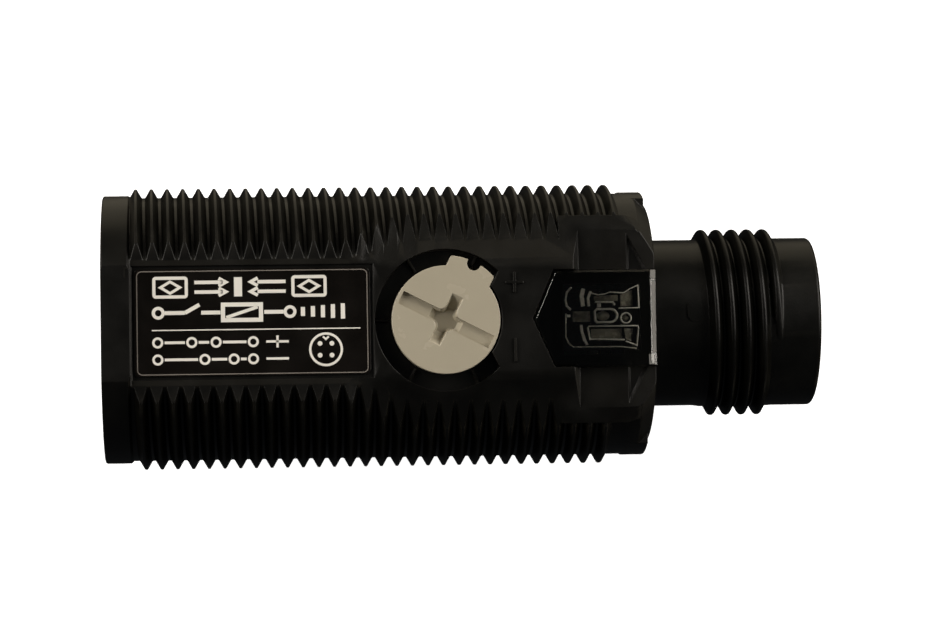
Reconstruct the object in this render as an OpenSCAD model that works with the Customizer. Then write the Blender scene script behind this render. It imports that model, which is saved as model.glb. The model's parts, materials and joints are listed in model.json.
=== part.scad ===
// M18 photoelectric sensor with an M12 plug.
// The origin is the centre of the front face. +X runs along the barrel to the plug,
// +Z points out of the flat control face.

/* [Barrel] */
// Outer diameter of the barrel thread
barrel_thread_d = 18; // [17.8:0.1:18.2]
// Number of full crests on the barrel thread
barrel_crests = 31; // [27:1:31]
// Diameter of the plain collar at the front
collar_d = 17.1; // [17:0.05:17.3]
// Diameter of the plain tail behind the thread
tail_d = 16.94; // [16.9:0.02:17.1]
// Height of the flat control face above the axis
flat_z = 7.45; // [7.4:0.01:7.5]
// Where the barrel ends
barrel_end = 34.62; // [34.6:0.02:34.7]

/* [Control face] */
// Distance of the adjuster's axis from the front face
dial_x = 21.4; // [21.2:0.1:21.6]
// Diameter of the adjuster's dial
dial_d = 6.78; // [6.5:0.02:6.8]
// Diameter over the pointer tab
tab_d = 8.04; // [7.6:0.02:8.1]
// Width of the pointer tab
tab_w = 3; // [2.8:0.1:3]
// Angle that the dial turns between its stops
dial_travel = 234.6; // [200:0.2:240]
// Length of the nameplate
plate_len = 14.7; // [14:0.05:15]
// Width of the nameplate
plate_w = 6.7; // [6.2:0.1:6.8]
// Width of the indicator window
window_w = 6.1; // [5.8:0.1:6.2]
// Where the window's pointed end lies
window_tip = 26.8; // [26.6:0.1:27]

/* [Plug] */
// Outer diameter of the plug thread
plug_thread_d = 12; // [11.8:0.1:12.2]
// Diameter of the plug's neck
neck_d = 10.7; // [10.6:0.05:10.8]
// Length of the whole sensor
total_len = 45.4; // [45:0.1:46]
// Diameter of one contact pin
pin_d = 1; // [0.9:0.05:1]
// Diameter of the circle that the pins stand on
pin_circle_d = 5; // [4.9:0.1:5.1]

/* [Hidden] */

$fn = 96;
pitch = 1;
thread_depth = 0.6;
crest_w = pitch / 8;
crest_r = barrel_thread_d / 2;
root_r = crest_r - thread_depth;
collar_r = collar_d / 2;
tail_r = tail_d / 2;
collar_len = 1.8;
collar_flat_z = 7.77;
first_crest = 2.25;
thread_end = 33;
slack = 20;

// Sloping facets beside the flat face
facet_y = 3.6;
facet_slope = 26;
facet_start = 17.6;
boss_r = 5.45;
boss_edge_r = root_r + 0.2;

// Tapered rear end
taper_start = 33.72;
taper_end_r = 7.97;
ear_half_z = 3.3;
ear_end = 34.4;

// Bore
bore_r = 6.7;
bay_start = 16.8;
bay_ceiling = 5.4;
rear_wall = 33.2;
lens_r = 7.45;
lens_flange = 1.35;
seal_t = 0.25;
seat_x = lens_flange + seal_t;

// Control face pockets
plate_x = 2;
plate_t = 0.12;
plate_gap = 0.18;
dial_rest = 62.7;
dial_r = dial_d / 2;
tab_r = tab_d / 2;
recess_r = 4.44;
recess_side_r = 3.5;
recess_floor = 6.3;
tab_gap = 0.06;
mark_h = 0.12;
dial_bottom = 6.6;
shaft_r = 1.1;
shaft_gap = 0.05;
window_corner = 28.15;
window_end = 34.6;
window_floor = 5.9;
guide_hole = [28.9, 32.6, 2.2];
pad_z = 6.3;
pad_ramp = 29.3;
pad_start = 29.8;
pocket_start = 32.9;
pocket_end = 34.05;
pocket_z = 5.9;
pad_y = window_w / 2;
pad_edge_y = 5.4;
clear_start = 28.6;
clear_end = 32.8;
clear_angle = 47.5;
clear_r = 8.95;

// Plug
neck_r = neck_d / 2;
plug_crest_r = plug_thread_d / 2;
plug_depth = 0.6;
plug_first = 39.4;
plug_crests = 4;
plug_rim_r = 5.4;
plug_rim_start = 42.9;
socket_r = 4.3;
socket_floor = 37.4;
insert_back = 32.6;
flange_r = 6.65;
flange_x = 32;
pin_r = pin_d / 2;
pin_shank_r = 0.75;
pin_tail_r = 0.3;
pin_back = 31.6;
groove_r = neck_r - 0.4;
groove_x = [33.75, 34.35];
pin_tip = 44.2;
key_w = 1.3;
key_depth = 0.55;
wire_r = 0.35;

// Inner parts
board_t = 0.8;
board_half = board_t / 2;
board_x = [14.6, 31];
board_half_w = 6;
receiver_x = 13.6;
pot_size = 4;
pot_top = 2.7;
rotor_r = 1.6;
rotor_top = 3.9;
led_x = 29.8;
led_y = 1.15;

// Corners of the four pins, seen along the axis
function pin_place(number) =
    let (angle = 45 + 90 * (number - 1))
    [pin_circle_d / 2 * cos(angle), pin_circle_d / 2 * sin(angle)];

// One ridge of a thread as points of radius and position
function ridge(x, base_r, top_r) =
    let (flank = (top_r - base_r) * tan(30))
    [[base_r, x - crest_w / 2 - flank], [top_r, x - crest_w / 2],
     [top_r, x + crest_w / 2], [base_r, x + crest_w / 2 + flank]];

function ridges(first, count, base_r, top_r) =
    [for (i = [0 : count - 1]) each ridge(first + i * pitch, base_r, top_r)];

// Turns an outline of radius and position about the sensor's axis
module turned(outline) {
    rotate([0, 90, 0])
        rotate_extrude()
            polygon(outline);
}

// A cylinder along the sensor's axis
module rod(r, from, to) {
    translate([from, 0, 0])
        rotate([0, 90, 0])
            cylinder(r = r, h = to - from);
}

// A tube along the sensor's axis
module tube(r_out, r_in, from, to) {
    turned([[r_in, from], [r_out, from], [r_out, to], [r_in, to]]);
}

// A box from its low corner to its high corner
module block(low, high) {
    translate(low)
        cube(high - low);
}

// Space above the flat and the sloping facets, as a cross-section run along X
module facet_space(side, from, to) {
    drop = (slack / 2) * tan(facet_slope);
    translate([from, 0, 0])
        rotate([90, 0, 90])
            linear_extrude(to - from)
                polygon([[side * facet_y, flat_z],
                         [side * (facet_y + slack / 2), flat_z - drop],
                         [side * (facet_y + slack / 2), flat_z + 4],
                         [side * facet_y, flat_z + 4]]);
}

// The round raised land about the dial
module dial_boss(bottom, top, r) {
    translate([dial_x, 0, bottom])
        cylinder(r = r, h = top - bottom);
}

// Fills the thread beside the window and slopes down to the tail behind it
module clear_sector() {
    rotate([0, 90, 0])
        rotate([0, 0, 180 - clear_angle])
            rotate_extrude(angle = 2 * clear_angle)
                polygon([[7.5, clear_start], [clear_r, clear_start], [clear_r, clear_end],
                         [tail_r - 0.05, taper_start], [7.5, taper_start]]);
}

module threaded_blank() {
    turned(concat([[0, 0], [collar_r - 0.1, 0], [collar_r, 0.1],
                   [collar_r, collar_len - 0.15], [root_r, collar_len - 0.15]],
                  ridges(first_crest, barrel_crests, root_r, crest_r),
                  [[root_r, thread_end], [tail_r, thread_end + 0.15],
                   [tail_r, taper_start], [taper_end_r, barrel_end], [0, barrel_end]]));
}

module ears() {
    intersection() {
        rod(tail_r, taper_start - 0.5, ear_end);
        block([taper_start - 0.4, -slack, -ear_half_z], [slack * 2, slack, ear_half_z]);
    }
}

// Thread, tail and rear end with both facets cut
module faceted_barrel() {
    difference() {
        union() {
            threaded_blank();
            clear_sector();
            ears();
        }
        for (side = [-1, 1])
            facet_space(side, facet_start, slack * 2);
    }
}

// Land about the dial: its front half stays level, its rear half follows the facets
module dial_land() {
    difference() {
        intersection() {
            dial_boss(4, slack, boss_r);
            rod(boss_edge_r, dial_x - boss_r - 1, dial_x + boss_r + 1);
        }
        for (side = [-1, 1])
            facet_space(side, dial_x - 1.4, slack * 2);
    }
}

module barrel_outside() {
    difference() {
        union() {
            faceted_barrel();
            dial_land();
        }
        block([-1, -slack, collar_flat_z], [collar_len, slack, slack]);
        block([collar_len, -slack, flat_z], [slack * 2, slack, slack]);
    }
}

// The dial's turning space, from one stop to the other
module recess_outline() {
    circle(r = recess_side_r);
    intersection() {
        circle(r = recess_r);
        union() {
            for (angle = [dial_rest, dial_rest + dial_travel])
                rotate(angle)
                    translate([0, -tab_w / 2 - tab_gap])
                        square([slack, tab_w + 2 * tab_gap]);
            polygon(concat([[0, 0]],
                           [for (i = [0 : 6])
                               let (angle = dial_rest + i * dial_travel / 6)
                               slack * [cos(angle), sin(angle)]]));
        }
    }
}

// Small raised marks on the recess floor
module recess_marks() {
    for (i = [0 : 4])
        translate([dial_x, 0, recess_floor - 0.05])
            rotate(dial_rest + i * dial_travel / 4)
                translate([3.62, -0.11, 0])
                    cube([0.7, 0.22, 0.05 + mark_h]);
}

module window_outline() {
    half = window_w / 2;
    polygon([[window_tip, 0], [window_corner, -half], [window_end, -half],
             [window_end, half], [window_corner, half]]);
}

// Low pads, ramps and three-cornered pockets on both sides of the window
module side_pad_space(side) {
    mirror([0, side < 0 ? 1 : 0, 0])
        translate([0, slack, 0])
            rotate([90, 0, 0])
                linear_extrude(slack - pad_y)
                    polygon([[pad_ramp, flat_z + 0.3], [pad_start, pad_z],
                             [slack * 2, pad_z], [slack * 2, flat_z + 0.3]]);
    mirror([0, side < 0 ? 1 : 0, 0])
        translate([0, 0, pocket_z])
            linear_extrude(slack)
                polygon([[pocket_start, pad_y], [pocket_end, pad_y],
                         [pocket_start, pad_edge_y]]);
}

// Plus and minus signs beside the dial
module turn_signs() {
    sign_x = dial_x + 4.35;
    translate([sign_x, 2.15, flat_z - 0.05]) {
        translate([-0.5, -0.07, 0])
            cube([1, 0.14, 0.05 + mark_h / 2]);
        translate([-0.07, -0.65, 0])
            cube([0.14, 1.3, 0.05 + mark_h / 2]);
    }
    translate([sign_x - 0.07, -2.75, flat_z - 0.05])
        cube([0.14, 1.4, 0.05 + mark_h / 2]);
}

module housing() {
    color([0.05, 0.05, 0.05]) {
        difference() {
            barrel_outside();
            // Label pocket
            block([plate_x - plate_gap / 2, -plate_w / 2 - plate_gap, flat_z - plate_t],
                  [plate_x + plate_len + plate_gap, plate_w / 2 + plate_gap, slack]);
            // Dial recess and the hole for its shaft
            translate([dial_x, 0, recess_floor])
                linear_extrude(slack)
                    recess_outline();
            translate([dial_x, 0, 4])
                cylinder(r = shaft_r + shaft_gap, h = slack);
            translate([dial_x, 0, recess_floor - 0.55])
                cylinder(r = shaft_r + 0.65, h = slack);
            // Window seat and the opening for the light guide
            translate([0, 0, window_floor])
                linear_extrude(slack)
                    window_outline();
            block([window_end - 0.01, -window_w / 2, window_floor], [slack * 2, window_w / 2, slack]);
            block([guide_hole[0], -guide_hole[2], 4], [guide_hole[1], guide_hole[2], slack]);
            for (side = [-1, 1])
                side_pad_space(side);
            // Lens seat, front bore, electronics bay and rear opening
            rod(lens_r, -1, seat_x);
            rod(bore_r, seat_x - 0.5, bay_start);
            intersection() {
                rod(bore_r, bay_start - 0.5, rear_wall);
                block([0, -slack, -slack], [slack * 2, slack, bay_ceiling]);
            }
            rod(neck_r, rear_wall - 0.5, slack * 2);
        }
        recess_marks();
        turn_signs();
    }
}

module connector_body() {
    root = plug_crest_r - plug_depth;
    color([0.06, 0.06, 0.06])
        difference() {
            turned(concat([[0, flange_x], [flange_r, flange_x], [flange_r, rear_wall],
                           [neck_r, rear_wall], [neck_r, plug_first - 1.4], [root, plug_first - 1.1]],
                          ridges(plug_first, plug_crests, root, plug_crest_r),
                          [[root, plug_rim_start - 0.05], [plug_rim_r, plug_rim_start],
                           [plug_rim_r, total_len - 0.2], [plug_rim_r - 0.2, total_len],
                           [0, total_len]]));
            block([flange_x - 1, -slack, bay_ceiling - 0.02], [rear_wall + 0.5, slack, slack]);
            difference() {
                rod(socket_r, flange_x - 1, total_len + 1);
                block([socket_floor, -key_w / 2, socket_r - key_depth],
                      [total_len - 0.6, key_w / 2, slack]);
            }
            tube(neck_r + 1, groove_r, groove_x[0], groove_x[1]);
        }
}

module connector_insert() {
    color([0.1, 0.1, 0.1])
        difference() {
            rod(socket_r, insert_back, socket_floor);
            for (number = [1 : 4])
                translate([0, pin_place(number)[0], pin_place(number)[1]])
                    rod(pin_shank_r, flange_x - 1, total_len);
        }
}

// Contact with a thin solder tail, a thick shank in the insert and a round-ended pin
module contact_pin(number) {
    color([0.85, 0.68, 0.3])
        translate([0, pin_place(number)[0], pin_place(number)[1]]) {
            rod(pin_tail_r, pin_back, insert_back);
            rod(pin_shank_r, insert_back, socket_floor);
            rod(pin_r, socket_floor, pin_tip - pin_r);
            translate([pin_tip - pin_r, 0, 0])
                sphere(r = pin_r);
        }
}

// A wire from a pin's tail to the long board
module lead_wire(number) {
    place = pin_place(number);
    side = sign(place[0]);
    face = sign(place[1]);
    board_y = side * 3.9;
    board_z = face * (board_half + wire_r + 0.02);
    path = [[pin_back - wire_r - 0.02, place[0], place[1]], [30.6, side * 3.4, face * 1.9],
            [29.6, board_y, board_z], [28.6, board_y, board_z]];
    color(["saddlebrown", "white", "royalblue", "black"][number - 1])
        for (i = [0 : len(path) - 2])
            hull() {
                translate(path[i])
                    sphere(r = wire_r, $fn = 8);
                translate(path[i + 1])
                    sphere(r = wire_r, $fn = 8);
            }
}

module front_lens() {
    cap_r = 7.5;
    aperture_r = 5.6;
    cap_centre = seat_x - sqrt(cap_r * cap_r - aperture_r * aperture_r);
    color([0.85, 0.9, 0.95, 0.5])
        rotate([0, 90, 0])
            rotate_extrude()
                union() {
                    square([lens_r, lens_flange]);
                    square([aperture_r, seat_x]);
                    intersection() {
                        translate([0, cap_centre])
                            circle(r = cap_r);
                        translate([0, seat_x - 0.1])
                            square([aperture_r, slack]);
                    }
                }
}

module lens_seal() {
    color([0.12, 0.12, 0.12])
        tube(lens_r, 5.65, lens_flange, seat_x);
}

module lens_holder() {
    color([0.08, 0.08, 0.08]) {
        tube(bore_r - 0.05, 5.7, seat_x, 12.3);
        tube(bore_r - 0.05, 2, 12.3, 13);
    }
}

module receiver_board() {
    color([0.05, 0.3, 0.15])
        rod(6.3, receiver_x, receiver_x + board_t);
}

module photodiode() {
    color([0.25, 0.2, 0.22]) {
        block([receiver_x - 1, -1.4, -1.2], [receiver_x, 1.4, 1.2]);
        translate([receiver_x - 1, 0, 0])
            sphere(r = 0.9);
    }
}

module shield_can() {
    from = receiver_x + board_t;
    color([0.75, 0.76, 0.78])
        difference() {
            block([from, -3.6, 1.1], [from + 1.6, 3.6, 4.7]);
            block([from - 1, -3.4, 1.3], [from + 1.4, 3.4, 4.5]);
        }
}

// Right-angle header that joins the two boards
module board_link() {
    from = receiver_x + board_t;
    color([0.8, 0.65, 0.3])
        for (i = [-2 : 2])
            translate([0, 0, -0.2]) {
                block([from, i * 1.27 - 0.2, -1.4], [from + 0.35, i * 1.27 + 0.2, -0.2]);
                block([from, i * 1.27 - 0.2, -0.6], [from + 2, i * 1.27 + 0.2, -0.2]);
            }
}

module main_board() {
    color([0.05, 0.3, 0.15])
        difference() {
            block([board_x[0], -board_half_w, -board_half], [board_x[1], board_half_w, board_half]);
            for (side = [-1, 1])
                translate([board_x[0] + 3, side * (board_half_w - 1.2), -1])
                    cylinder(r = 0.5, h = 2);
        }
}

// Two side rails with grooves for the long board, joined by a cross bar
module board_carrier() {
    color([0.15, 0.15, 0.16])
        difference() {
            union() {
                for (side = [-1, 1])
                    block([board_x[0] + 0.1, min(side * 5.5, side * 6.4), -1.5],
                          [board_x[1] + 0.6, max(side * 5.5, side * 6.4), 1.5]);
                block([board_x[0] + 0.1, -6, -2.6], [board_x[0] + 1.3, 6, -1.4]);
                block([26.2, -6, -2.6], [27.4, 6, -1.4]);
            }
            block([0, -board_half_w, -board_half], [slack * 2, board_half_w, board_half]);
        }
}

module asic_chip() {
    color([0.07, 0.07, 0.08])
        block([19.2, -2.1, -board_half - 0.95], [23.4, 2.1, -board_half]);
}

module output_transistor() {
    color([0.07, 0.07, 0.08]) {
        block([28, -1.75, -board_half - 1.1], [29.6, 1.75, -board_half]);
        for (i = [-1 : 1])
            block([29.6, i * 1.15 - 0.3, -board_half - 0.25], [30.2, i * 1.15 + 0.3, -board_half]);
    }
}

module smd_parts() {
    color([0.45, 0.35, 0.25])
        for (i = [0 : 5], side = [-1, 1]) {
            x = 16.4 + i * 1.9;
            translate([x, side * 4.2 - 0.4, board_half])
                cube([1.2, 0.8, i % 2 == 0 ? 0.45 : 0.7]);
        }
}

module potentiometer_base() {
    half = pot_size / 2;
    color([0.2, 0.3, 0.5])
        difference() {
            block([dial_x - half, -half, board_half], [dial_x + half, half, pot_top]);
            translate([dial_x, 0, pot_top - 0.8])
                cylinder(r = rotor_r + 0.05, h = 2);
        }
}

module potentiometer_rotor() {
    color([0.9, 0.88, 0.8])
        translate([dial_x, 0, 0])
            difference() {
                translate([0, 0, pot_top - 0.75])
                    cylinder(r = rotor_r, h = rotor_top - pot_top + 0.75);
                rotate(dial_rest)
                    block([-slack, -0.35, rotor_top - 0.9], [slack, 0.35, slack]);
            }
}

// Pointer tab with its round notch
module tab_outline() {
    difference() {
        intersection() {
            circle(r = tab_r);
            translate([0, -tab_w / 2])
                square([slack, tab_w]);
        }
        translate([tab_r - 0.12, 0])
            circle(r = 0.43);
        translate([tab_r - 0.12, -0.43])
            square([1, 0.86]);
    }
}

module adjuster_dial() {
    slot_w = 0.86;
    cross_w = 0.73;
    color([0.72, 0.7, 0.64])
        translate([dial_x, 0, 0])
            rotate(dial_rest)
                difference() {
                    union() {
                        translate([0, 0, dial_bottom])
                            linear_extrude(flat_z - dial_bottom)
                                union() {
                                    circle(r = dial_r);
                                    tab_outline();
                                }
                        translate([0, 0, rotor_top])
                            cylinder(r = shaft_r, h = dial_bottom - rotor_top);
                        block([-shaft_r + 0.1, -0.32, rotor_top - 0.85],
                              [shaft_r - 0.1, 0.32, rotor_top + 0.1]);
                    }
                    block([-slot_w / 2, -slack, flat_z - 0.25], [slot_w / 2, slack, slack]);
                    block([-1.62, -cross_w / 2, flat_z - 1.6], [1.62, cross_w / 2, slack]);
                    block([-cross_w / 2, -1.27, flat_z - 1.6], [cross_w / 2, 1.27, slack]);
                    // Groove for the O-ring
                    translate([0, 0, 5.85])
                        rotate_extrude()
                            translate([shaft_r, 0])
                                circle(r = 0.2);
                }
}

module dial_seal() {
    color([0.1, 0.1, 0.1])
        translate([dial_x, 0, 6.05])
            rotate_extrude()
                translate([shaft_r + 0.29, 0])
                    circle(r = 0.28);
}

module nameplate() {
    color([0.08, 0.07, 0.06])
        block([plate_x, -plate_w / 2, flat_z - plate_t], [plate_x + plate_len, plate_w / 2, flat_z - 0.02]);
}

module indicator_window() {
    color([0.8, 0.85, 0.9, 0.5])
        difference() {
            translate([0, 0, window_floor])
                linear_extrude(flat_z - window_floor)
                    window_outline();
            // Sloping rear edge
            translate([window_end - 0.5, 0, flat_z])
                rotate([0, 45, 0])
                    block([0, -slack, 0], [slack, slack, slack]);
        }
}

module light_guide() {
    color([0.9, 0.9, 0.85, 0.6]) {
        block([guide_hole[0] + 0.05, -guide_hole[2] + 0.05, bay_ceiling - 0.3],
              [guide_hole[1] - 0.7, guide_hole[2] - 0.05, window_floor]);
        for (side = [-1, 1])
            block([led_x - 0.9, side * led_y - 0.6, board_half + 0.85],
                  [led_x + 0.9, side * led_y + 0.6, bay_ceiling - 0.2]);
    }
}

module led_chip(side, tint) {
    color(tint)
        block([led_x - 0.8, side * led_y - 0.4, board_half], [led_x + 0.8, side * led_y + 0.4, board_half + 0.8]);
}

module led_operation() {
    led_chip(1, [0.95, 0.5, 0.1]);
}

module led_stability() {
    led_chip(-1, [0.2, 0.75, 0.3]);
}

module connector_seal() {
    color([0.1, 0.1, 0.1])
        tube(neck_r, groove_r, groove_x[0], groove_x[1]);
}

housing();
connector_body();
front_lens();
nameplate();
indicator_window();
adjuster_dial();
lens_seal();
dial_seal();
connector_seal();
lens_holder();
receiver_board();
photodiode();
shield_can();
board_link();
main_board();
board_carrier();
asic_chip();
output_transistor();
smd_parts();
potentiometer_base();
potentiometer_rotor();
led_operation();
led_stability();
light_guide();
connector_insert();
contact_pin(1);  // contact_pin_1
contact_pin(2);  // contact_pin_2
contact_pin(3);  // contact_pin_3
contact_pin(4);  // contact_pin_4
lead_wire(1);  // lead_wire_1
lead_wire(2);  // lead_wire_2
lead_wire(3);  // lead_wire_3
lead_wire(4);  // lead_wire_4
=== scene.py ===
"""Looks of the M18 photoelectric sensor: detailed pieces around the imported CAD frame.

Lengths in this script are millimetres until finish_piece() scales a mesh to metres.
+X runs from the front face to the plug, +Z points out of the flat control face.
"""
import json
import math

import bmesh
import bpy
from mathutils import Matrix, Vector


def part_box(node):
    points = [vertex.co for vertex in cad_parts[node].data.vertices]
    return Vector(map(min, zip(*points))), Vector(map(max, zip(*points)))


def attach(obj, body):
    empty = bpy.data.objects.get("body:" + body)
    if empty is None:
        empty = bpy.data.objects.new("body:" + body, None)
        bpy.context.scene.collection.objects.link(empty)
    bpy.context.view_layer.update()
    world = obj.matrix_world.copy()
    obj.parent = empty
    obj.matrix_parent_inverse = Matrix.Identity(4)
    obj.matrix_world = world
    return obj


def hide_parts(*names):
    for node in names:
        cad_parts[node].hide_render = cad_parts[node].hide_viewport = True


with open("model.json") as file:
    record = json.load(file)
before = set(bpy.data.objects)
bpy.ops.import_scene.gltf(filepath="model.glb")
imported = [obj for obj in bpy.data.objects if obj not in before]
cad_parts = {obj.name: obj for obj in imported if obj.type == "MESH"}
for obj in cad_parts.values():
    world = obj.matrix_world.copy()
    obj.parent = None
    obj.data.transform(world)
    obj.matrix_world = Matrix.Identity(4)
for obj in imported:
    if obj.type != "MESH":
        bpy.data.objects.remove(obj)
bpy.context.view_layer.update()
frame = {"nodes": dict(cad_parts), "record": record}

MM = 0.001


def node_box(name):
    """A CAD node's lowest and highest corners in millimetres."""
    low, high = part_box(name)
    return [value / MM for value in low], [value / MM for value in high]


# ---------------------------------------------------------------- sizes
barrel_high = node_box("housing")[1]
plug_high = node_box("connector_body")[1]
plate_low, plate_high = node_box("nameplate")
window_low, window_high = node_box("indicator_window")
rotor_low, rotor_high = node_box("potentiometer_rotor")

TOTAL = plug_high[0]
CREST_R = barrel_high[1] - 0.03
ROOT_R = 8.4
COLLAR_R = 8.55
TAIL_R = 8.47
COLLAR_END = 1.8
COLLAR_FLAT_Z = 7.77
FLAT_Z = window_high[2]
PITCH = 1.0
FIRST_CREST = 2.07
THREAD_TURNS = 30.4
THREAD_END = 33.0
THREAD_STEPS = 96

FACET_Y = 3.6
FACET_SLOPE = math.radians(26)
FACET_START = 15.3
FACET_RUN = 4.5
DIAL_X = (rotor_low[0] + rotor_high[0]) / 2
CLEAR_START = 28.6
CLEAR_END = 32.8
CLEAR_ANGLE = math.radians(47.5)
CLEAR_R = 8.95

TAPER_START = 33.72
BARREL_END = 34.62
TAPER_END_R = 7.65
EAR_HALF_Z = 3.3
EAR_END = 34.4

DIAL_REST = math.radians(62.7)
DIAL_TRAVEL = math.radians(frame["record"]["behaviour"]["joints"][0]["range_deg"][1])
DIAL_R = 3.39
TAB_R = 4.02
TAB_W = 3.0
RECESS_R = 4.44
RECESS_SIDE_R = 3.5
RECESS_FLOOR = 6.3
DIAL_BOTTOM = 6.6
SHAFT_R = 1.1
STOP_GAP = 0.06

PAD_Y = window_high[1]
PAD_Z = 6.5
PAD_RAMP = 29.3
PAD_START = 29.8
POCKET_DEPTH = 0.17
WINDOW_CORNER = 28.15
WINDOW_FLOOR = window_low[2]
BORE_R = 6.7
LENS_R = 7.45
LENS_SEAT = 1.6
BAY_START = 16.8
BAY_CEILING = 5.4
REAR_WALL = 33.2

FLANGE_START = 32
NECK_R = 5.35
NECK_END = 37.7
PLUG_CREST_R = 6.0
PLUG_ROOT_R = 5.42
PLUG_FIRST_CREST = 38.4
RIM_R = 5.4
SOCKET_R = 4.3
SOCKET_FLOOR = 37.4
PIN_R = 0.5
PIN_TIP = 44.2
PIN_CIRCLE_R = 2.5

SLACK = 30
SLIVER = 0.002


# ---------------------------------------------------------------- mesh helpers
def new_piece(name, verts, faces):
    """Object with a mesh whose faces point outwards."""
    mesh = bpy.data.meshes.new(name)
    mesh.from_pydata([tuple(v) for v in verts], [], faces)
    piece = bpy.data.objects.new(name, mesh)
    bpy.context.scene.collection.objects.link(piece)
    work = bmesh.new()
    work.from_mesh(mesh)
    bmesh.ops.recalc_face_normals(work, faces=work.faces)
    if work.calc_volume(signed=True) < 0:
        bmesh.ops.reverse_faces(work, faces=work.faces)
    work.to_mesh(mesh)
    work.free()
    return piece


def apply_modifiers(piece):
    """Replaces a piece's mesh by the mesh that its modifiers make."""
    graph = bpy.context.evaluated_depsgraph_get()
    made = bpy.data.meshes.new_from_object(piece.evaluated_get(graph))
    old = piece.data
    piece.modifiers.clear()
    piece.data = made
    bpy.data.meshes.remove(old)


def combine(piece, other, operation):
    """Boolean of two closed pieces. The other piece is used up."""
    step = piece.modifiers.new("step", "BOOLEAN")
    step.operation = operation
    step.solver = "MANIFOLD"
    step.object = other
    apply_modifiers(piece)
    bpy.data.objects.remove(other, do_unlink=True)
    return piece


def cut(piece, *others):
    for other in others:
        combine(piece, other, "DIFFERENCE")
    return piece


def add(piece, *others):
    for other in others:
        combine(piece, other, "UNION")
    return piece


def turned(outline, steps=128):
    """Closed solid from an outline of (x, radius) points turned about the axis."""
    verts, rings = [], []
    for x, radius in outline:
        if radius < 1e-6:
            rings.append([len(verts)])
            verts.append((x, 0, 0))
            continue
        rings.append(list(range(len(verts), len(verts) + steps)))
        for i in range(steps):
            turn = 2 * math.pi * i / steps
            verts.append((x, radius * math.cos(turn), radius * math.sin(turn)))
    faces = []
    for a, b in zip(rings, rings[1:] + rings[:1]):
        if len(a) == 1 and len(b) == 1:
            continue
        for i in range(steps):
            j = (i + 1) % steps
            quad = [a[i % len(a)], a[j % len(a)], b[j % len(b)], b[i % len(b)]]
            quad = list(dict.fromkeys(quad))
            faces.append(quad)
    return new_piece("turned", verts, faces)


def loft(outlines):
    """Closed solid through outlines of 3-D points, which all have the same count."""
    count = len(outlines[0])
    verts = [point for outline in outlines for point in outline]
    faces = [list(range(count)), list(range(len(verts) - count, len(verts)))]
    for k in range(len(outlines) - 1):
        for i in range(count):
            j = (i + 1) % count
            faces.append([k * count + i, k * count + j, (k + 1) * count + j, (k + 1) * count + i])
    return new_piece("loft", verts, faces)


def upright(outline, low, high):
    """Prism along Z from an outline of (x, y) points."""
    return loft([[(x, y, z) for x, y in outline] for z in (low, high)])


def block(low, high):
    return upright([(low[0], low[1]), (high[0], low[1]), (high[0], high[1]), (low[0], high[1])],
                   low[2], high[2])


def arc(centre, radius, start, end, steps):
    """Points on an arc, both ends included. Angles are in radians."""
    return [(centre[0] + radius * math.cos(start + (end - start) * i / steps),
             centre[1] + radius * math.sin(start + (end - start) * i / steps))
            for i in range(steps + 1)]


def circle(centre, radius, steps):
    return arc(centre, radius, 0, 2 * math.pi, steps)[:-1]


def helix_ridge(profile, first, start, end, fade):
    """Closed right-hand ridge. The profile is (offset along x, radius) points.

    It passes x = first on the +Y side, which is turn 0, and runs from the start turn to the end turn.
    Its ends sink to the profile's lowest radius over the fade angle, in degrees.
    """
    low = min(radius for _, radius in profile)
    first_step = round(start * THREAD_STEPS)
    last_step = round(end * THREAD_STEPS)
    rings = []
    for i in range(first_step, last_step + 1):
        turn = 2 * math.pi * i / THREAD_STEPS
        left = min(i - first_step, last_step - i) / THREAD_STEPS * 360
        rise = min(1.0, left / fade)
        rise = rise * rise * (3 - 2 * rise)
        x = first + PITCH * i / THREAD_STEPS
        rings.append([(x + offset, (low + (radius - low) * rise) * math.cos(turn),
                       (low + (radius - low) * rise) * math.sin(turn)) for offset, radius in profile])
    return loft(rings)


def band(points, width, low, high, closed=False):
    """Upright strip of one width that follows a line of (x, y) points, with mitred corners."""
    count = len(points)
    left, right = [], []
    for i, here in enumerate(points):
        before = points[i - 1] if closed or i else None
        after = points[(i + 1) % count] if closed or i < count - 1 else None
        ways = []
        for start, end in ((before, here), (here, after)):
            if start is not None and end is not None:
                ways.append((Vector(end) - Vector(start)).normalized())
        normals = [Vector((-way.y, way.x)) for way in ways]
        middle = sum(normals, Vector((0, 0))).normalized()
        reach = width / 2 / max(0.4, middle.dot(normals[0]))
        left.append(Vector(here) + middle * reach)
        right.append(Vector(here) - middle * reach)
    verts = [(p.x, p.y, z) for z in (low, high) for side in (left, right) for p in side]
    faces = []
    for i in range(count if closed else count - 1):
        j = (i + 1) % count
        low_l, low_r, high_l, high_r = (k * count for k in range(4))
        faces += [[low_l + i, low_r + i, low_r + j, low_l + j],
                  [high_l + i, high_l + j, high_r + j, high_r + i],
                  [low_l + i, low_l + j, high_l + j, high_l + i],
                  [low_r + i, high_r + i, high_r + j, low_r + j]]
    if not closed:
        for i in (0, count - 1):
            faces.append([i, count * 2 + i, count * 3 + i, count + i])
    return new_piece("band", verts, faces)


def join(pieces):
    """One mesh from several separate pieces."""
    work = bmesh.new()
    for piece in pieces:
        work.from_mesh(piece.data)
    joined = pieces[0]
    work.to_mesh(joined.data)
    work.free()
    for piece in pieces[1:]:
        bpy.data.objects.remove(piece, do_unlink=True)
    return joined


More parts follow.
